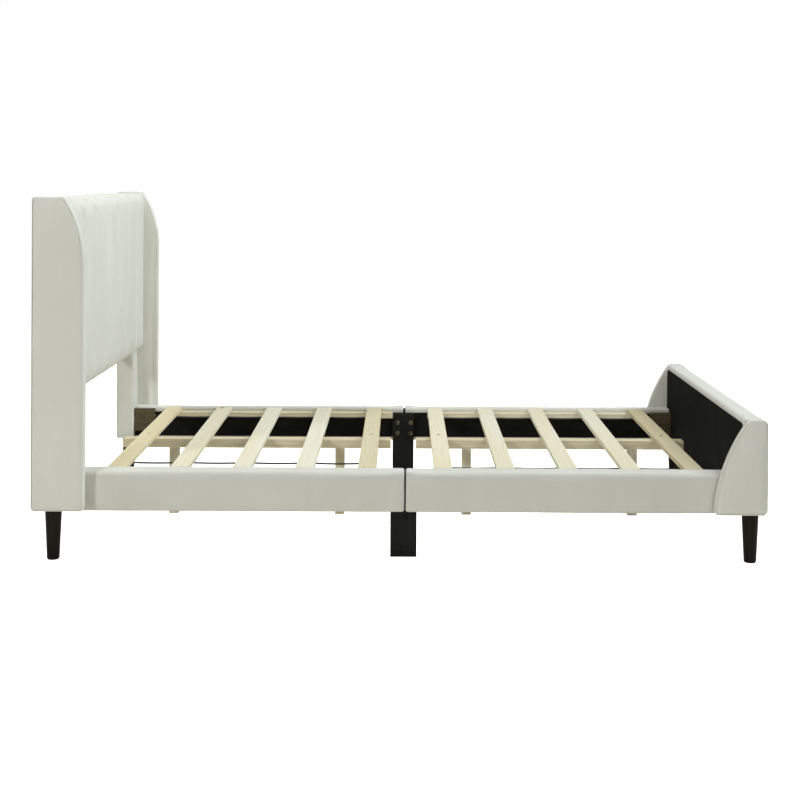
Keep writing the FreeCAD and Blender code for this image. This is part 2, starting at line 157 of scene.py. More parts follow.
def cream_fabric(name, tone=1.0):
    """Short-pile upholstery: a fine weave, soft mottling and a little sheen. A tone below 1 makes a darker
    copy of the cloth, as painted shade.
    """
    shader = Shader(name, 0.92, Sheen_Weight=0.22, Sheen_Roughness=0.5, Specular_IOR_Level=0.2)
    pitch = 2 * math.pi / (1.7 * MM)
    separate = shader.tree.nodes.new("ShaderNodeSeparateXYZ")
    wobble = shader.noise(shader.place, 140, 2)
    shader.join(separate.inputs[0], shader.place)
    threads = []
    for axis in "XYZ":
        turn = shader.math("MULTIPLY", separate.outputs[axis], pitch)
        threads.append(shader.math("SINE", shader.math("ADD", turn, wobble)))
    weave = shader.math("ADD", shader.math("ADD", threads[0], threads[1]), threads[2])
    pile = shader.noise(shader.place, 900, 3)
    height = shader.math("ADD", shader.math("MULTIPLY", weave, 0.35), pile)
    mottle = shader.noise(shader.scaled(1, 1, 0.45), 9, 5, 0.4)
    low = tuple(c * tone for c in (0.700, 0.702, 0.622))
    high = tuple(c * tone for c in (0.750, 0.754, 0.680))
    base = shader.ramp(mottle, (0.3, low), (0.7, high))
    fibres = shader.ramp(pile, (0.3, 0.93), (0.7, 1.0))
    colour = shader.mix("MULTIPLY", 1.0, base, fibres)
    return shader.finish(colour, None, height, 0.35 * MM, 0.6)


def seam_thread():
    shader = Shader("seam_thread", 0.7)
    twist = shader.noise(shader.place, 1500, 2)
    colour = shader.ramp(twist, (0.3, (0.52, 0.51, 0.44)), (0.7, (0.66, 0.65, 0.58)))
    return shader.finish(colour, None, twist, 0.2 * MM)


def black_lining():
    """Non-woven lining: matted fibres, pressed in a fine diamond pattern."""
    shader = Shader("black_lining", 0.9, Specular_IOR_Level=0.1)
    fibres = shader.noise(shader.scaled(1, 1, 1), 420, 6, 1.2)
    slanted = shader.scaled(1, 1, 1, 0.78)
    pressed = shader.add("TexVoronoi", "Distance", Vector=slanted, Scale=420.0, Randomness=0.1)
    cloudy = shader.noise(shader.place, 6, 4, 0.3)
    base = shader.ramp(cloudy, (0.3, (0.0075, 0.0078, 0.0070)), (0.75, (0.0155, 0.0160, 0.0140)))
    colour = shader.mix("MULTIPLY", 1.0, base, shader.ramp(fibres, (0.3, 0.6), (0.75, 1.0)))
    height = shader.math("ADD", fibres, shader.math("MULTIPLY", pressed, 0.7))
    return shader.finish(colour, shader.ramp(fibres, (0.2, 0.75), (0.8, 0.95)), height, 0.2 * MM)


def webbing():
    shader = Shader("black_webbing", 0.7)
    ribs = shader.add("TexWave", "Fac", Vector=shader.scaled(1, 1, 1), Scale=180.0, Distortion=0.3)
    colour = shader.ramp(ribs, (0.2, (0.006, 0.006, 0.006)), (0.8, (0.02, 0.02, 0.019)))
    return shader.finish(colour, None, ribs, 0.2 * MM)


def pine(name, pale, deep, along, seed):
    """Planed softwood: nearly straight growth lines along an axis, fine fibres and a few small knots."""
    shader = Shader(name, 0.62, Specular_IOR_Level=0.3)
    moved = shader.add("VectorMath", "Vector", {"operation": "ADD"})
    shader.join(moved.node.inputs[0], shader.place)
    moved.node.inputs[1].default_value = (seed * 0.37, seed * 0.71, seed * 0.53)
    axis = "XYZ".index(along)
    slow = tuple(0.9 if k == axis else 9.0 for k in range(3))
    fibre = tuple(14.0 if k == axis else 420.0 for k in range(3))
    cells = tuple(5.2 if k == axis else 17.0 for k in range(3))
    slow_place = shader.add("Mapping", "Vector", Vector=moved, Scale=slow)
    fibre_place = shader.add("Mapping", "Vector", Vector=moved, Scale=fibre)
    cell_place = shader.add("Mapping", "Vector", Vector=moved, Scale=cells)
    spot = shader.add("TexVoronoi", "Distance", Vector=cell_place, Scale=1.0, Randomness=1.0)
    chosen = shader.add("TexVoronoi", "Color", Vector=cell_place, Scale=1.0, Randomness=1.0)
    near = shader.math("SUBTRACT", 1.0, shader.math("MULTIPLY", spot, 3.6))
    knot = shader.math("MULTIPLY", shader.math("MAXIMUM", near, 0.0), shader.math("LESS_THAN", chosen, 0.2))
    split = shader.tree.nodes.new("ShaderNodeSeparateXYZ")
    shader.join(split.inputs[0], moved)
    across = split.outputs[{"X": "Z", "Y": "X", "Z": "X"}[along]]
    waver = shader.noise(slow_place, 1.0, 3, 0.2)
    phase = shader.math("ADD", shader.math("MULTIPLY", across, 430.0), shader.math("MULTIPLY", waver, 48.0))
    phase = shader.math("ADD", phase, shader.math("MULTIPLY", knot, 7.0))
    rings = shader.math("ADD", shader.math("MULTIPLY", shader.math("SINE", phase), 0.5), 0.5)
    fibres = shader.noise(fibre_place, 1.0, 4)
    tone = shader.math("ADD", shader.math("MULTIPLY", rings, 0.16), shader.math("MULTIPLY", fibres, 0.84))
    grain = shader.ramp(tone, (0.2, deep), (0.62, pale))
    broad = shader.ramp(shader.noise(slow_place, 0.8, 3), (0.35, (0.95, 0.90, 0.80)), (0.65, (1.0, 1.0, 1.0)))
    coloured = shader.mix("MULTIPLY", 1.0, grain, broad)
    ring = shader.ramp(knot, (0.0, 0.0), (0.3, 0.2), (0.4, 0.85), (0.75, 0.6))
    colour = shader.mix("MIX", ring, coloured, (0.22, 0.11, 0.04, 1))
    roughness = shader.ramp(tone, (0.2, 0.7), (0.8, 0.55))
    return shader.finish(colour, roughness, tone, 0.2 * MM)


def dark_wood():
    """Dark stained beech with a satin varnish."""
    shader = Shader("dark_wood", 0.42, Coat_Weight=0.06, Coat_Roughness=0.25, Specular_IOR_Level=0.12)
    grain = shader.noise(shader.scaled(60, 60, 4), 2.2, 5, 0.5)
    colour = shader.ramp(grain, (0.3, (0.005, 0.0034, 0.0022)), (0.75, (0.013, 0.008, 0.005)))
    return shader.finish(colour, shader.ramp(grain, (0.2, 0.42), (0.8, 0.28)), grain, 0.12 * MM)


def brown_wood():
    """Plywood of the corner blocks, coloured dark brown: painted shade of the corners where they sit, over
    the plies' grain.
    """
    shader = Shader("brown_wood", 0.6)
    plies = shader.noise(shader.scaled(5, 40, 220), 1.0, 4, 0.6)
    blotch = shader.noise(shader.place, 55, 4, 0.8)
    # The dark brown base is painted shade, not the wood's own colour; plies and blotches are the wood's
    # grain.
    base = shader.ramp(plies, (0.3, (0.05, 0.038, 0.012)), (0.7, (0.125, 0.098, 0.034)))
    colour = shader.mix("MULTIPLY", 0.8, base, shader.ramp(blotch, (0.3, 0.45), (0.7, 1.0)))
    return shader.finish(colour, None, plies, 0.3 * MM)


def black_board():
    """Board painted satin black, with a faint grain under the paint. On the rail cores the same black is
    painted shade in the gap between the rail halves.
    """
    shader = Shader("black_board", 0.5, Specular_IOR_Level=0.14)
    grain = shader.noise(shader.scaled(70, 70, 5), 1.6, 5, 0.4)
    specks = shader.noise(shader.place, 700, 3)
    colour = shader.ramp(grain, (0.3, (0.0072, 0.0072, 0.0068)), (0.7, (0.0115, 0.0115, 0.0108)))
    height = shader.math("ADD", grain, shader.math("MULTIPLY", specks, 0.3))
    return shader.finish(colour, shader.ramp(grain, (0.3, 0.5), (0.7, 0.36)), height, 0.15 * MM)


def bolt_metal(name, dark, bright, roughness):
    shader = Shader(name, roughness, Metallic=1.0)
    wear = shader.noise(shader.place, 260, 5, 0.5)
    colour = shader.ramp(wear, (0.35, dark), (0.7, bright))
    return shader.finish(colour, shader.ramp(wear, (0.3, roughness + 0.15), (0.7, roughness)), wear, 0.1 * MM)


def black_plastic():
    shader = Shader("black_plastic", 0.55)
    grain = shader.noise(shader.place, 800, 3)
    colour = shader.ramp(grain, (0.3, 0.012), (0.7, 0.02))
    return shader.finish(colour, None, grain, 0.1 * MM)


FABRIC = cream_fabric("cream_fabric")
# The rails get the same cloth 10% darker: painted shade for the low rails set back behind the wings.
SHADED_RAIL_FABRIC = cream_fabric("cream_fabric_rail_shade", 0.9)
THREAD = seam_thread()
LINING = black_lining()
WEBBING = webbing()
PALE_PINE = ((0.80, 0.785, 0.65), (0.71, 0.675, 0.52))
WARM_PINE = ((0.80, 0.735, 0.52), (0.69, 0.60, 0.38))
MID_PINE = ((0.80, 0.76, 0.59), (0.70, 0.64, 0.45))
STRAW_PINE = ((0.69, 0.64, 0.445), (0.59, 0.52, 0.33))
TAN_PINE = ((0.63, 0.585, 0.42), (0.53, 0.47, 0.30))
BEAM_PINE = ((0.72, 0.67, 0.515), (0.57, 0.505, 0.35))
DARK_WOOD = dark_wood()
SHADED_PLYWOOD = brown_wood()
BLACK_BOARD_AND_GAP_SHADE = black_board()
BRONZE = bolt_metal("bronze_bolt", (0.07, 0.055, 0.035), (0.27, 0.215, 0.14), 0.42)
DARK_WIRE = bolt_metal("dark_wire", (0.02, 0.02, 0.018), (0.06, 0.058, 0.05), 0.5)
ZINC = bolt_metal("screw_steel", (0.30, 0.27, 0.19), (0.62, 0.57, 0.44), 0.33)
PLASTIC = black_plastic()


# ---------------------------------------------------------------- mesh tools


def new_piece(name, vertices, faces, material):
    """A smooth-shaded mesh in the row frame."""
    mesh = bpy.data.meshes.new(name)
    mesh.from_pydata([tuple(v) for v in vertices], [], faces)
    mesh.materials.append(material)
    mesh.polygons.foreach_set("use_smooth", [True] * len(mesh.polygons))
    piece = bpy.data.objects.new(name, mesh)
    bpy.context.scene.collection.objects.link(piece)
    return piece


def face_outward(piece):
    bm = bmesh.new()
    bm.from_mesh(piece.data)
    bmesh.ops.recalc_face_normals(bm, faces=bm.faces)
    bm.to_mesh(piece.data)
    bm.free()


def apply_modifiers(piece):
    """Keeps what the piece's modifiers make of it as its mesh."""
    graph = bpy.context.evaluated_depsgraph_get()
    made = bpy.data.meshes.new_from_object(piece.evaluated_get(graph))
    piece.modifiers.clear()
    piece.data = made
    made.polygons.foreach_set("use_smooth", [True] * len(made.polygons))


def even_steps(path, step, closed=True):
    """The path's points replaced by ones a nearly equal step apart."""
    points = [Vector(p) for p in path]
    if closed:
        points.append(points[0])
    lengths = [0.0]
    for a, b in zip(points, points[1:]):
        lengths.append(lengths[-1] + (b - a).length)
    count = max(3, round(lengths[-1] / step))
    made = []
    index = 0
    for k in range(count if closed else count + 1):
        target = lengths[-1] * k / count
        while index < len(lengths) - 2 and lengths[index + 1] < target:
            index += 1
        span = lengths[index + 1] - lengths[index]
        made.append(points[index].lerp(points[index + 1], (target - lengths[index]) / span if span else 0))
    return made


def rounded(corners):
    """A counter-clockwise outline through corners given as (u, v, radius); a radius of 0 keeps the point."""
    path = []
    for index, (u, v, radius) in enumerate(corners):
        here = Vector((u, v))
        if not radius:
            path.append(here)
            continue
        before = (Vector(corners[index - 1][:2]) - here).normalized()
        after = (Vector(corners[(index + 1) % len(corners)][:2]) - here).normalized()
        half = before.angle(after) / 2
        reach = radius / math.tan(half)
        middle = here + (before + after).normalized() * (radius / math.sin(half))
        start = here + before * reach - middle
        end = here + after * reach - middle
        path += [middle + start.lerp(end, k / 6).normalized() * radius for k in range(7)]
    return path


def outward(outline):
    """The unit normal at each point of a closed counter-clockwise outline."""
    normals = []
    for index in range(len(outline)):
        along = outline[(index + 1) % len(outline)] - outline[index - 1]
        normals.append(Vector((along.y, -along.x)).normalized())
    return normals


def swept(name, outline, stations, place, rim, material=None):
    """A closed form: an outline carried through stations, with a rounded rim at both ends.

    place turns an outline point and a station into a point of the row frame."""
    normals = outward(outline)
    first, last = stations[0], stations[-1]
    turns = [math.pi / 2 * k / 4 for k in range(5)]
    lead = [(first + rim * (1 - math.sin(a)), rim * (1 - math.cos(a))) for a in reversed(turns)]
    rows = lead + [(s, 0.0) for s in stations if first + 1.3 * rim < s < last - 1.3 * rim]
    rows += [(first + last - s, inset) for s, inset in reversed(lead)]
    vertices = [place(p - n * inset, station) for station, inset in rows for p, n in zip(outline, normals)]
    count = len(outline)
    faces = [
        (r * count + c, r * count + (c + 1) % count, (r + 1) * count + (c + 1) % count, (r + 1) * count + c)
        for r in range(len(rows) - 1)
        for c in range(count)
    ]
    faces.append(tuple(reversed(range(count))))
    faces.append(tuple((len(rows) - 1) * count + c for c in range(count)))
    piece = new_piece(name, vertices, faces, material or FABRIC)
    face_outward(piece)
    return piece


def stations(low, high, step):
    count = max(2, round((high - low) / step))
    return [low + (high - low) * k / count for k in range(count + 1)]


def even_skin(piece, voxel):
    """Replaces the piece's faces by even quads, and eases the steps that this leaves."""
    skin = piece.modifiers.new("Skin", "REMESH")
    skin.mode = "VOXEL"
    skin.voxel_size = voxel
    ease = piece.modifiers.new("Ease", "SMOOTH")
    ease.factor = 0.5
    ease.iterations = 4
    apply_modifiers(piece)


def inflate(piece, held, pressure, cap, frames=20):
    """Lets the cover swell like stuffed cloth between the points that held picks out."""
    start = [v.co.copy() for v in piece.data.vertices]
    pins = piece.vertex_groups.new(name="Pins")
    pins.add([i for i, co in enumerate(start) if held(co)], 1.0, "REPLACE")
    cloth = piece.modifiers.new("Cloth", "CLOTH")
    cloth.settings.quality = 4
    cloth.settings.mass = 0.3
    cloth.settings.vertex_group_mass = "Pins"
    cloth.settings.use_pressure = True
    cloth.settings.uniform_pressure_force = pressure
    cloth.settings.effector_weights.gravity = 0
    cloth.point_cache.frame_start = 1
    cloth.point_cache.frame_end = frames
    scene = bpy.context.scene
    for step in range(1, frames + 1):
        scene.frame_set(step)
    graph = bpy.context.evaluated_depsgraph_get()
    swollen = [v.co.copy() for v in piece.evaluated_get(graph).data.vertices]
    piece.modifiers.clear()
    piece.vertex_groups.clear()
    scene.frame_set(1)
    for vertex, before, after in zip(piece.data.vertices, start, swollen):
        move = after - before
        if move.length > cap:
            move *= cap / move.length
        vertex.co = before + move


def relief(piece, height, size, seed, stretch=(1, 1, 1)):
    """Pushes the surface in and out by soft noise, as foam and cloth are never quite flat."""
    mesh = piece.data
    normals = [v.normal.copy() for v in mesh.vertices]
    shift = Vector((seed * 3.1, seed * 1.7, seed * 2.3))
    for vertex, normal in zip(mesh.vertices, normals):
        at = Vector(c * s for c, s in zip(vertex.co, stretch)) / size + shift
        vertex.co += normal * (height * noise.fractal(at, 1.0, 2.0, 3))


def keep_behind(piece, axis, limit, way):
    """Presses points that pass a plane back to it, where another piece lies against the cloth."""
    for vertex in piece.data.vertices:
        if (vertex.co[axis] - limit) * way > 0:
            vertex.co[axis] = limit - way * 0.3 * MM


def tube(name, path, radius, material, closed=False):
    """A round bead along a path of points."""
    curve = bpy.data.curves.new(name, "CURVE")
    curve.dimensions = "3D"
    curve.bevel_depth = radius
    curve.bevel_resolution = 2
    spline = curve.splines.new("POLY")
    spline.points.add(len(path) - 1)
    for point, co in zip(spline.points, path):
        point.co = (*co, 1)
    spline.use_cyclic_u = closed
    holder = bpy.data.objects.new(f"{name}_path", curve)
    bpy.context.scene.collection.objects.link(holder)
    graph = bpy.context.evaluated_depsgraph_get()
    mesh = bpy.data.meshes.new_from_object(holder.evaluated_get(graph))
    bpy.data.objects.remove(holder)
    mesh.materials.clear()
    mesh.materials.append(material)
    mesh.polygons.foreach_set("use_smooth", [True] * len(mesh.polygons))
    piece = bpy.data.objects.new(name, mesh)
    bpy.context.scene.collection.objects.link(piece)
    return piece


def stitches(name, paths):
    """Rows of short thread stitches along paths given as (points, surface normals)."""
    vertices = []
    faces = []
    for points, normals in paths:
        marks = even_steps(points, STITCH_PITCH, closed=False)
        for index, (here, there) in enumerate(zip(marks, marks[1:])):
            along = (there - here).normalized()
            up = normals[min(len(normals) - 1, index * len(normals) // len(marks))]
            side = along.cross(up).normalized()
            base = len(vertices)
            for share, size, lift in ((0.0, 0.3, -0.3), (0.15, 1.0, 0.5), (0.55, 1.0, 0.8), (0.7, 0.3, -0.3)):
                centre = here + (there - here) * share + up * (THREAD_RADIUS * lift)
                for k in range(6):
                    turn = math.pi / 3 * k
                    spoke = side * math.cos(turn) + up * math.sin(turn)
                    vertices.append(centre + spoke * (THREAD_RADIUS * size))
            for ring in range(3):
                for k in range(6):
                    a = base + ring * 6 + k
                    b = base + ring * 6 + (k + 1) % 6
                    faces.append((a, b, b + 6, a + 6))
            faces.append(tuple(base + k for k in reversed(range(6))))
            faces.append(tuple(base + 18 + k for k in range(6)))
    piece = new_piece(name, vertices, faces, THREAD)
    face_outward(piece)
    return piece


def fixed(piece, *nodes):
    """A piece of the part that doesn't move, standing for the nodes that it hides."""
    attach(piece, "frame")
    if nodes:
        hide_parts(*nodes)
    return piece


# ---------------------------------------------------------------- upholstery


def arc(centre, radius, first, last, count):
    """Points of an arc without its two ends, with radius 0 so that rounded() keeps them as they are."""
    turns = [first + (last - first) * k / count for k in range(1, count)]
    return [(centre.x + radius * math.cos(a), centre.y + radius * math.sin(a), 0) for a in turns]


def head_curve(back, front, bottom, top):
    """Side view of a head wing: upright front edge, then one arc back to the top."""
    radius = (HEAD_CURVE_STEP**2 + HEAD_CURVE_DROP**2) / (2 * HEAD_CURVE_STEP)
    centre = Vector((front - radius, top - HEAD_CURVE_DROP))
    rise = math.asin(HEAD_CURVE_DROP / radius)
    corners = [(back, bottom, EDGE_ROUND), (front, bottom, EDGE_ROUND)]
    corners += arc(centre, radius, 0, rise, 20)
    corners += [(front - HEAD_CURVE_STEP, top, 3 * MM), (back, top, 5 * MM)]
    return even_steps(rounded(corners), 5 * MM)


def foot_curve(inner, outer, bottom, top):
    """Side view of a foot wing: one long arc on the inner side, rounded top corner on the outer side."""
    centre_x = inner + math.sqrt(FOOT_CURVE_RADIUS**2 - FOOT_CURVE_BELOW**2)
    centre = Vector((centre_x, bottom - FOOT_CURVE_BELOW))
    high = math.asin((top - centre.y) / FOOT_CURVE_RADIUS)
    low = math.asin(FOOT_CURVE_BELOW / FOOT_CURVE_RADIUS)
    tip = centre_x - FOOT_CURVE_RADIUS * math.cos(high)
    corners = [(inner, bottom, EDGE_ROUND), (outer, bottom, EDGE_ROUND), (outer, top, 14 * MM)]
    corners += [(tip, top, 20 * MM)]
    corners += arc(centre, FOOT_CURVE_RADIUS, math.pi - high, math.pi - low, 16)
    return even_steps(rounded(corners), 5 * MM)


def edge_path(outline, y, inward):
    """The outline at one face of a wing, pulled in a little, where its side panel is sewn to its band."""
    return [Vector((p.x - n.x * inward, y, p.y - n.y * inward)) for p, n in zip(outline, outward(outline))]


def wing(end, side, curve, seed):
    """One upholstered wing: two side panels sewn to a band that runs round the edge."""
    node = f"{end}_wing_cover_{side}"
    low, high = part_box(node)
    outline = curve(low.x, high.x, low.z - UNDERSIDE_COVER, high.z)
    rim = min(EDGE_ROUND, 0.22 * (high.y - low.y))
    piece = swept(
        f"{end}_wing_{side}",
        outline,
        stations(low.y, high.y, 6 * MM),
        lambda p, s: (p.x, s, p.y),
        rim,
    )
    even_skin(piece, 6.5 * MM)

    def held(co):
        return rim * 0.3 < min(co.y - low.y, high.y - co.y) < rim

    inflate(piece, held, 3.0, 2.5 * MM, frames=12)
    relief(piece, 1.1 * MM, 0.11, seed)
    relief(piece, 0.35 * MM, 0.025, seed + 5, (1, 1, 0.5))
    fixed(piece, node)
    pull = rim * (1 - math.sqrt(0.5))
    for face, y in (("inner", low.y + pull), ("outer", high.y - pull)):
        path = edge_path(outline, y, pull + 0.2 * MM)
        fixed(tube(f"{end}_wing_{side}_seam_{face}", path, 0.8 * MM, FABRIC, closed=True))
    return piece


def headboard_panel():
    """Padded panel sewn into upright channels, its edges rolled over the board at the top and the bottom."""
    low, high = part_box("headboard_pad")
    low.x -= 1.2 * MM
    front = high.x - 7 * MM
    outline = even_steps(
        rounded(
            [
                (low.x, low.z + 1 * MM, 3 * MM),
                (front, low.z + 1 * MM, PANEL_ROUND),
                (front, high.z - 1 * MM, PANEL_ROUND),
                (low.x, high.z - 1 * MM, 6 * MM),
            ]
        ),
        8 * MM,
    )
    normals = dict(zip([(round(p.x, 6), round(p.y, 6)) for p in outline], outward(outline)))
    pitch = (high.y - low.y) / CHANNELS
    seams = [low.y + pitch * k for k in range(CHANNELS + 1)]
    rows = sorted(set(stations(low.y, high.y, pitch / 26)))

    def place(point, y):
        share = abs((y - low.y) / pitch % 1.0 - 0.5) * 2
        groove = SEAM_DEPTH * max(0.0, (share - 0.80) / 0.20) ** 2
        depth = min(1.0, max(0.0, (point.x - low.x - 20 * MM) / (30 * MM)))
        normal = normals.get((round(point.x, 6), round(point.y, 6)), Vector((1, 0)))
        crown = 7 * MM * (1 - (2 * (y - low.y) / (high.y - low.y) - 1) ** 2)
        crown *= math.sin(math.pi * (point.y - low.z) / (high.z - low.z)) * depth
        moved = point - normal * (groove * depth) + Vector((crown, 0))
        return (moved.x, y, moved.y)

    piece = swept("headboard_panel", outline, rows, place, 4 * MM)

    def held(co):
        nearest = min(abs(co.y - seam) for seam in seams)
        return co.x < low.x + 24 * MM or nearest < 1.4 * MM

    inflate(piece, held, 2.0, 4 * MM)
    relief(piece, 0.7 * MM, 0.06, 3, (1, 1, 0.3))
    keep_behind(piece, 0, low.x + 0.6 * MM, -1)
    fixed(piece, "headboard_pad")
    paths = []
    for seam in seams[1:-1]:
        in_front = [v for v in piece.data.vertices if v.co.x > low.x + 30 * MM]
        rows_here = [v for v in in_front if abs(v.co.y - seam) < 1.0 * MM]
        rows_here.sort(key=lambda v: v.co.z)
        if len(rows_here) > 4:
            paths.append(([v.co.copy() for v in rows_here], [v.normal.copy() for v in rows_here]))
    if paths:
        fixed(stitches("headboard_stitches", paths))
    return piece


def bar_outline(low, high, radii):
    """A rounded rectangle between two corners; radii run from the low corner, counter-clockwise."""
    corners = [(low[0], low[1]), (high[0], low[1]), (high[0], high[1]), (low[0], high[1])]
    return even_steps(rounded([(u, v, r) for (u, v), r in zip(corners, radii)]), 5.5 * MM)


def rail_half(side, end, seed):
    """Half of a side rail: foam and cloth round a board, drawn in a little where the halves meet."""
    node = f"rail_cover_{side}_{end}"
    low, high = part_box(node)
    sign = SIDES[side]
    split = high.x if end == "head" else low.x
    outline = bar_outline(
        (0, low.z), (high.y - low.y, high.z), (5 * MM, 8 * MM, 8 * MM, 6 * MM)
    )
    inner = min(abs(low.y), abs(high.y))

    def place(point, x):
        return (x, sign * (inner + point.x), point.y)

    first = low.x + (RAIL_GAP if end == "foot" else 0)
    last = high.x - (RAIL_GAP if end == "head" else 0)
    rows = stations(first, last, 6 * MM)
    piece = swept(f"side_rail_{side}_{end}", outline, rows, place, 6 * MM, SHADED_RAIL_FABRIC)

    def held(co):
        from_end = min(abs(co.x - low.x), abs(co.x - high.x))
        return from_end < 7 * MM or abs(co.y) < inner + 4 * MM or co.z < low.z + 5 * MM

    inflate(piece, held, 2.5, 3.0 * MM)
    for vertex in piece.data.vertices:
        co = vertex.co
        reach = abs(co.x - split)
        if abs(co.y) < inner + 6 * MM:
            continue
        fold = math.sin(co.z / (9 * MM) + 9 * noise.noise(Vector((co.x * 12, co.z * 8, seed))))
        high_up = max(0.0, (co.z - low.z - 30 * MM) / (high.z - low.z))
        co.y += sign * 1.7 * MM * fold * math.exp(-reach / (13 * MM)) * high_up
        co.y -= sign * 1.8 * MM * math.exp(-reach / (22 * MM))
    relief(piece, 1.0 * MM, 0.13, seed, (0.6, 1, 1))
    relief(piece, 0.3 * MM, 0.03, seed + 4)
    keep_behind(piece, 1, sign * inner, -sign)
    fixed(piece, node)
    return piece


def post(side, seed):
    """Upholstered post under the panel, beside the wing."""
    node = f"head_post_cover_{side}"
    low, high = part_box(node)
    outline = bar_outline((low.x, low.y), (high.x, high.y), (4 * MM,) * 4)
    piece = swept(
        f"headboard_post_{side}",
        outline,
        stations(low.z - UNDERSIDE_COVER, high.z + 6 * MM, 6 * MM),
        lambda p, z: (p.x, p.y, z),
        5 * MM,
    )
    relief(piece, 1.1 * MM, 0.07, seed, (1, 1, 0.6))
    fixed(piece, node)
    return piece


def footboard():
    """Footboard's cover: cloth over the outer face and the rounded top, turned in on the inner face."""
    low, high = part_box("footboard_cover")
    outline = bar_outline(
        (low.x, low.z - UNDERSIDE_COVER),
        (high.x, high.z),
        (5 * MM, 8 * MM, 14 * MM, 9 * MM),
    )
    piece = swept(
        "footboard_upholstery",
        outline,
        stations(low.y, high.y, 6 * MM),
        lambda p, y: (p.x, y, p.y),
        4 * MM,
    )

    def held(co):
        return co.x < low.x + 4 * MM or co.z < low.z + 5 * MM or min(co.y - low.y, high.y - co.y) < 6 * MM

    inflate(piece, held, 2.5, 3.5 * MM)
    relief(piece, 1.1 * MM, 0.12, 21)
    relief(piece, 0.3 * MM, 0.03, 25)
    keep_behind(piece, 0, low.x, -1)
    fixed(piece, "footboard_cover")
    return piece


# ---------------------------------------------------------------- linings


def lining_sheet(name, u_spans, v_span, place, corner):
    """Thin cloth with rounded top corners and a turned hem, one island for each span along u."""
    vertices = []
    faces = []
    v0, v1 = v_span
    rows = stations(v0, v1, 7 * MM)
    for u0, u1 in u_spans:
        columns = stations(u0, u1, 8 * MM)
        base = len(vertices)
        count = len(columns)
        for v in rows:
            for u in columns:
                to_top = v1 - v
                to_side = min(u - u0, u1 - u)
                border = min(to_top, to_side, v - v0)
                lift = 0.5 * MM if border < HEM else 0.0
                lift += 0.6 * MM * noise.noise(Vector((u * 7, v * 9, 1.7))) * min(1.0, border / (30 * MM))
                if to_top < corner and to_side < corner:
                    across, down = corner - to_side, corner - to_top
                    squeeze = max(across, down) / math.hypot(across, down)
                    edge, sign = (u0, 1) if u - u0 < u1 - u else (u1, -1)
                    u_round = edge + sign * (corner - across * squeeze)
                    vertices.append(place(u_round, v1 - corner + down * squeeze, lift))
                else:
                    vertices.append(place(u, v, lift))
        starts = [base + r * count + c for r in range(len(rows) - 1) for c in range(count - 1)]
        faces += [(a, a + 1, a + count + 1, a + count) for a in starts]
    return new_piece(name, vertices, faces, LINING)


def staples(name, places, along, outwards):
    """Small wire staples: a crown 10 mm long, with both ends turned into the cloth."""
    vertices = []
    faces = []
    side = along.cross(outwards)
    outline = ((-5, -0.8), (-5, 0.5), (-4.6, 0.9), (4.6, 0.9), (5, 0.5), (5, -0.8))
    for at in places:
        base = len(vertices)
        for u, w in outline:
            for spread in (-0.6, 0.6):
                vertices.append(at + (along * u + outwards * w + side * spread) * MM)
                vertices.append(at + (along * (u * 0.9) + outwards * (w - 0.5) + side * spread) * MM)
        for k in range(len(outline) - 1):
            a, b = base + 4 * k, base + 4 * k + 4
            faces += [(a, b, b + 2, a + 2), (a + 1, a + 3, b + 3, b + 1), (a, a + 1, b + 1, b)]
            faces.append((a + 2, b + 2, b + 3, a + 3))
        faces += [(base, base + 2, base + 3, base + 1), (base + 20, base + 21, base + 23, base + 22)]
    piece = new_piece(name, vertices, faces, DARK_WIRE)
    face_outward(piece)
    return piece


def footboard_lining():
    low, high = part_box("footboard_lining")
    x = low.x
    piece = lining_sheet(
        "footboard_lining_cloth",
        [(low.y + 2 * MM, high.y - 2 * MM)],
        (low.z + 2 * MM, high.z),
        lambda y, z, lift: (x - lift, y, z),
        26 * MM,
    )
    fixed(piece, "footboard_lining")
    inset = 5 * MM
    places = [Vector((x - 0.6 * MM, y, high.z - inset)) for y in stations(low.y + 0.05, high.y - 0.05, 0.07)]
    fixed(staples("footboard_staples", places, Vector((0, 1, 0)), Vector((-1, 0, 0))))


def rail_lining(side):
    low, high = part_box(f"rail_lining_{side}")
    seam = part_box(f"rail_cover_{side}_head")[1].x
    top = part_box(f"rail_cleat_{side}_head")[1].z - 3 * MM
    sign = SIDES[side]
    y = sign * min(abs(low.y), abs(high.y))
    piece = lining_sheet(
        f"rail_lining_cloth_{side}",
        [(low.x + 1 * MM, seam - 3 * MM), (seam + 3 * MM, high.x - 1 * MM)],
        (low.z, top),
        lambda x, z, lift: (x, y - sign * lift, z),
        2 * MM,
    )
    fixed(piece, f"rail_lining_{side}")
    away = Vector((0, -sign, 0))
    spots = stations(low.x + 0.1, high.x - 0.1, 0.08)
    places = [Vector((x, y - sign * 0.6 * MM, low.z + 5 * MM)) for x in spots]
    fixed(staples(f"rail_staples_{side}", places, Vector((1, 0, 0)), away))


def headboard_back():
    low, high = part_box("headboard_back_cover")
    piece = lining_sheet(
        "headboard_back_cloth",
        [(low.y + 8 * MM, high.y - 8 * MM)],
        (low.z + 8 * MM, high.z - 14 * MM),
        lambda y, z, lift: (low.x + 1.2 * MM - lift, y, z),
        2 * MM,
    )
    fixed(piece, "headboard_back_cover")
    places = [
        Vector((low.x, y, z))
        for z in (low.z + 13 * MM, high.z - 19 * MM)
        for y in stations(low.y + 0.04, high.y - 0.04, 0.06)
    ]
    fixed(staples("headboard_back_staples", places, Vector((0, 1, 0)), Vector((-1, 0, 0))))


# ---------------------------------------------------------------- bolts and straps


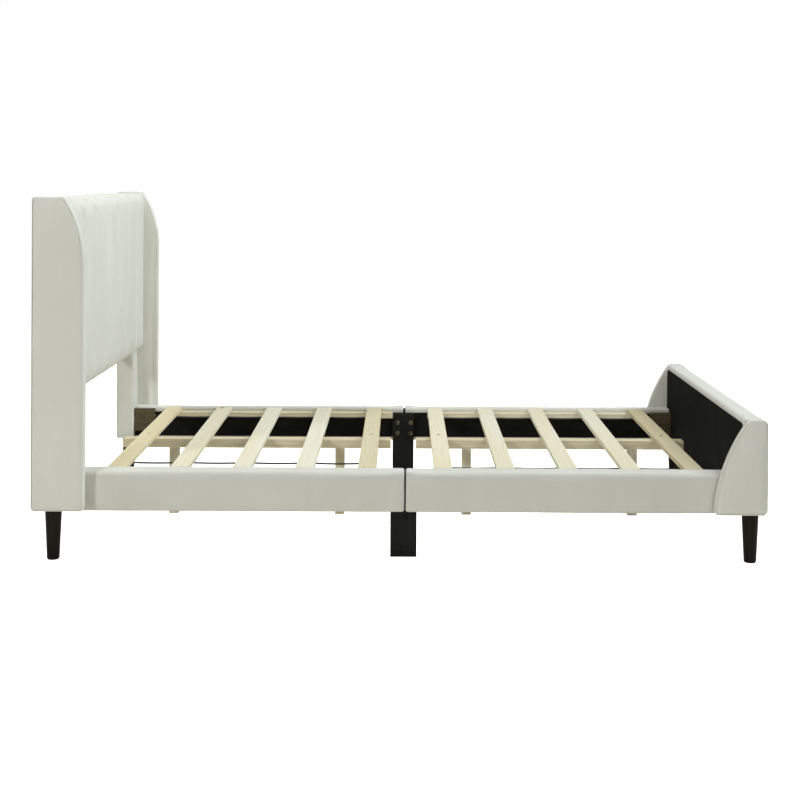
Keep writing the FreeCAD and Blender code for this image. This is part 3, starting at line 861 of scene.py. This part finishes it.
def islands(node):
    """Vertex lists of the separate solids in a CAD node."""
    bm = bmesh.new()
    bm.from_mesh(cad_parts[node].data)
    bmesh.ops.remove_doubles(bm, verts=bm.verts, dist=0.01 * MM)
    waiting = set(bm.verts)
    groups = []
    while waiting:
        reached = [waiting.pop()]
        for vertex in reached:
            for edge in vertex.link_edges:
                other = edge.other_vert(vertex)
                if other in waiting:
                    waiting.remove(other)
                    reached.append(other)
        groups.append([v.co.copy() for v in reached])
    bm.free()
    return groups


def recess_radius(kind, turn, size):
    """Distance from the middle to the edge of a driver's recess at an angle."""
    if kind == "hexagon":
        return size * math.cos(math.pi / 6) / math.cos(turn % (math.pi / 3) - math.pi / 6)
    off_arm = abs((turn + math.pi / 4) % (math.pi / 2) - math.pi / 4)
    return size / math.cos(off_arm) if off_arm < 0.3 else size * 0.42


def fastener_heads(name, node, height, recess, recess_size, material):
    """Domed heads with a driver's recess, and the shanks behind them, for each solid of a fastener node."""
    vertices = []
    faces = []
    sides = 24
    for points in islands(node):
        low = Vector(min(p[k] for p in points) for k in range(3))
        high = Vector(max(p[k] for p in points) for k in range(3))
        axis = max(range(3), key=lambda k: high[k] - low[k])
        middle = (low + high) / 2
        spread = {}
        for end, limit in ((-1, low[axis]), (1, high[axis])):
            close = [p for p in points if abs(p[axis] - limit) < 0.3 * MM]
            spread[end] = max(max(abs(p[k] - middle[k]) for k in range(3) if k != axis) for p in close)
        way = max(spread, key=spread.get)
        radius = spread[way]
        shank = spread[-way]
        out = Vector([way if k == axis else 0 for k in range(3)])
        u = out.orthogonal().normalized()
        v = out.cross(u)
        top = Vector(middle)
        top[axis] = (high if way > 0 else low)[axis]
        length = high[axis] - low[axis]
        rings = [(shank, -length), (shank, -height - 0.2 * MM), (radius * 0.97, -height)]
        rings += [(radius, -height * 0.85), (radius, -height * 0.5), (radius * 0.93, -height * 0.24)]
        rings += [(radius * 0.72, -height * 0.06), (None, 0.0), (None, -height * 0.55)]
        base = len(vertices)
        for reach, depth in rings:
            for k in range(sides):
                turn = 2 * math.pi * k / sides
                r = recess_radius(recess, turn, recess_size) if reach is None else reach
                vertices.append(top + out * depth + (u * math.cos(turn) + v * math.sin(turn)) * r)
        for ring in range(len(rings) - 1):
            for k in range(sides):
                a = base + ring * sides + k
                b = base + ring * sides + (k + 1) % sides
                faces.append((a, b, b + sides, a + sides))
        faces.append(tuple(base + k for k in range(sides)))
        last = base + (len(rings) - 1) * sides
        faces.append(tuple(last + k for k in range(sides)))
    piece = new_piece(name, vertices, faces, material)
    face_outward(piece)
    crisp = piece.modifiers.new("Crisp", "EDGE_SPLIT")
    crisp.split_angle = math.radians(40)
    apply_modifiers(piece)
    return piece


def deck_straps(end):
    """Two ribbons under a deck's slats, sagging a little between them."""
    node = f"deck_straps_{end}"
    low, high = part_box(node)
    first = 1 if end == "head" else 6
    spans = [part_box(f"slat_{first + k:02d}") for k in range(5)]
    for side, sign in SIDES.items():
        outer = high.y if sign > 0 else low.y
        inner = outer - sign * STRAP_WIDTH
        vertices = []
        marks = stations(low.x, high.x, 6 * MM)
        for x in marks:
            gaps = [(a[1].x, b[0].x) for a, b in zip(spans, spans[1:]) if a[1].x < x < b[0].x]
            sag = 0.0
            if gaps:
                share = (x - gaps[0][0]) / (gaps[0][1] - gaps[0][0])
                sag = STRAP_SAG * math.sin(math.pi * share)
            for y, z in ((inner, 0), (outer, 0), (outer, -1.0 * MM), (inner, -1.0 * MM)):
                vertices.append((x, y, high.z - 0.1 * MM - sag + z))
        faces = [
            (4 * r + c, 4 * r + (c + 1) % 4, 4 * r + 4 + (c + 1) % 4, 4 * r + 4 + c)
            for r in range(len(marks) - 1)
            for c in range(4)
        ]
        faces += [(3, 2, 1, 0), tuple(4 * (len(marks) - 1) + c for c in range(4))]
        piece = new_piece(f"deck_strap_{end}_{side}", vertices, faces, WEBBING)
        piece.data.polygons.foreach_set("use_smooth", [False] * len(piece.data.polygons))
        face_outward(piece)
        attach(piece, f"slat_deck_{end}")
        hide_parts(node)


# ---------------------------------------------------------------- carried-over parts


def paint(node, material):
    """Gives a CAD node's object its finished material."""
    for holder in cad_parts[node].material_slots:
        holder.link = "OBJECT"
        holder.material = material


def paint_frame():
    tones = [WARM_PINE, PALE_PINE, PALE_PINE, PALE_PINE, STRAW_PINE]
    tones += [MID_PINE, PALE_PINE, PALE_PINE, PALE_PINE, TAN_PINE]
    for index, (pale, deep) in enumerate(tones, start=1):
        paint(f"slat_{index:02d}", pine(f"pine_slat_{index:02d}", pale, deep, "Y", index))
    beam = pine("pine_beam", *BEAM_PINE, "X", 21)
    leg = pine("pine_leg", *BEAM_PINE, "Z", 33)
    for end in ENDS:
        paint(f"centre_beam_{end}", beam)
        paint(f"centre_legs_{end}", leg)
        # Corner blocks: plywood darkened with painted shade.
        paint(f"corner_blocks_{end}", SHADED_PLYWOOD)
        for side in SIDES:
            paint(f"rail_cleat_{side}_{end}", beam)
            paint(f"{end}_leg_{side}", DARK_WOOD)
            # Rail cores in black: painted shade in the gap where the rail halves meet, not the cores' own
            # colour.
            paint(f"rail_core_{side}_{end}", BLACK_BOARD_AND_GAP_SHADE)
            paint(f"{end}_wing_core_{side}", leg)
    for side in SIDES:
        paint(f"middle_leg_{side}", BLACK_BOARD_AND_GAP_SHADE)
    paint("headboard_core", leg)
    paint("footboard_core", leg)
    paint("leg_hanger_bolts", ZINC)
    paint("leg_glides", PLASTIC)


# ---------------------------------------------------------------- stage


def area_light(name, at, aim, size, power, colour=(1, 1, 1), spread=180):
    light = bpy.data.lights.new(name, "AREA")
    light.shape = "RECTANGLE"
    light.size, light.size_y = size
    light.energy = power
    light.color = colour
    light.spread = math.radians(spread)
    holder = bpy.data.objects.new(name, light)
    bpy.context.scene.collection.objects.link(holder)
    holder.location = at
    holder.rotation_euler = (Vector(aim) - Vector(at)).to_track_quat("-Z", "Y").to_euler()


def studio_world():
    """White behind the object, and a weaker white for what lights it."""
    world = bpy.data.worlds.new("studio")
    world.use_nodes = True
    nodes = world.node_tree.nodes
    seen = nodes.new("ShaderNodeLightPath")
    strength = nodes.new("ShaderNodeMapRange")
    strength.inputs["To Min"].default_value = AMBIENT
    strength.inputs["To Max"].default_value = 1.0
    world.node_tree.links.new(seen.outputs["Is Camera Ray"], strength.inputs["Value"])
    world.node_tree.links.new(strength.outputs["Result"], nodes["Background"].inputs["Strength"])
    nodes["Background"].inputs["Color"].default_value = (1, 1, 1, 1)
    bpy.context.scene.world = world


def stage_and_camera():
    mesh = bpy.data.meshes.new("floor")
    mesh.from_pydata([(-40, -12, 0), (40, -12, 0), (40, 60, 0), (-40, 60, 0)], [], [(0, 1, 2, 3)])
    floor = bpy.data.objects.new("floor", mesh)
    bpy.context.scene.collection.objects.link(floor)
    shader = Shader("floor_paint", 0.9, Emission_Color=(1, 1, 1, 1))
    cloudy = shader.noise(shader.place, 0.6, 2)
    seen = shader.add("LightPath", "Is Camera Ray")
    shader.join(shader.surface.inputs["Emission Strength"], seen)
    colour = shader.ramp(cloudy, (0.3, (0.84, 0.82, 0.75)), (0.7, (0.88, 0.86, 0.79)))
    mesh.materials.append(shader.finish(colour))
    studio_world()
    area_light("key", (-3.5, -3.8, 2.7), (0, -0.4, 0.4), (0.45, 0.45), KEY_POWER)
    area_light("fill", (2.8, -4.5, 2.4), (0, -0.4, 0.4), (1.5, 1.5), FILL_POWER)
    area_light("top", (-0.45, 0.1, 3.3), (-0.3, 0.1, 0), (2.4, 2.0), TOP_POWER)
    area_light("side", (2.8, 0.1, 3.3), (-1.0, 0, 0.9), (1.8, 1.8), SIDE_POWER, COOL_WHITE, SIDE_SPREAD)

    camera = bpy.data.objects.new("camera", bpy.data.cameras.new("camera"))
    bpy.context.scene.collection.objects.link(camera)
    camera.location = CAMERA_PLACE
    camera.rotation_euler = (math.pi / 2, -CAMERA_ROLL, 0)
    camera.data.lens = CAMERA_LENS
    camera.data.sensor_width = SENSOR_WIDTH
    camera.data.shift_x, camera.data.shift_y = CAMERA_SHIFT
    camera.data.clip_end = 60
    bpy.context.scene.camera = camera
    bpy.context.scene.view_settings.view_transform = "Standard"


# ---------------------------------------------------------------- the bed

for side_index, side in enumerate(SIDES):
    wing("head", side, head_curve, 1 + side_index)
    wing("foot", side, foot_curve, 7 + side_index)
    post(side, 11 + side_index)
    rail_lining(side)
    for end_index, end in enumerate(ENDS):
        rail_half(side, end, 31 + 2 * side_index + end_index)
headboard_panel()
headboard_back()
footboard()
footboard_lining()
for end in ENDS:
    deck_straps(end)
    screws = fastener_heads(
        f"slat_screws_{end}", f"deck_screws_{end}", 1.5 * MM, "cross", 2.3 * MM, ZINC
    )
    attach(screws, f"slat_deck_{end}")
    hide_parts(f"deck_screws_{end}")
for place in ("corner", "middle_leg"):
    bolts = fastener_heads(
        f"{place}_bolt_heads", f"{place}_bolts", 5 * MM, "hexagon", 3.4 * MM, BRONZE
    )
    fixed(bolts, f"{place}_bolts")
paint_frame()
stage_and_camera()
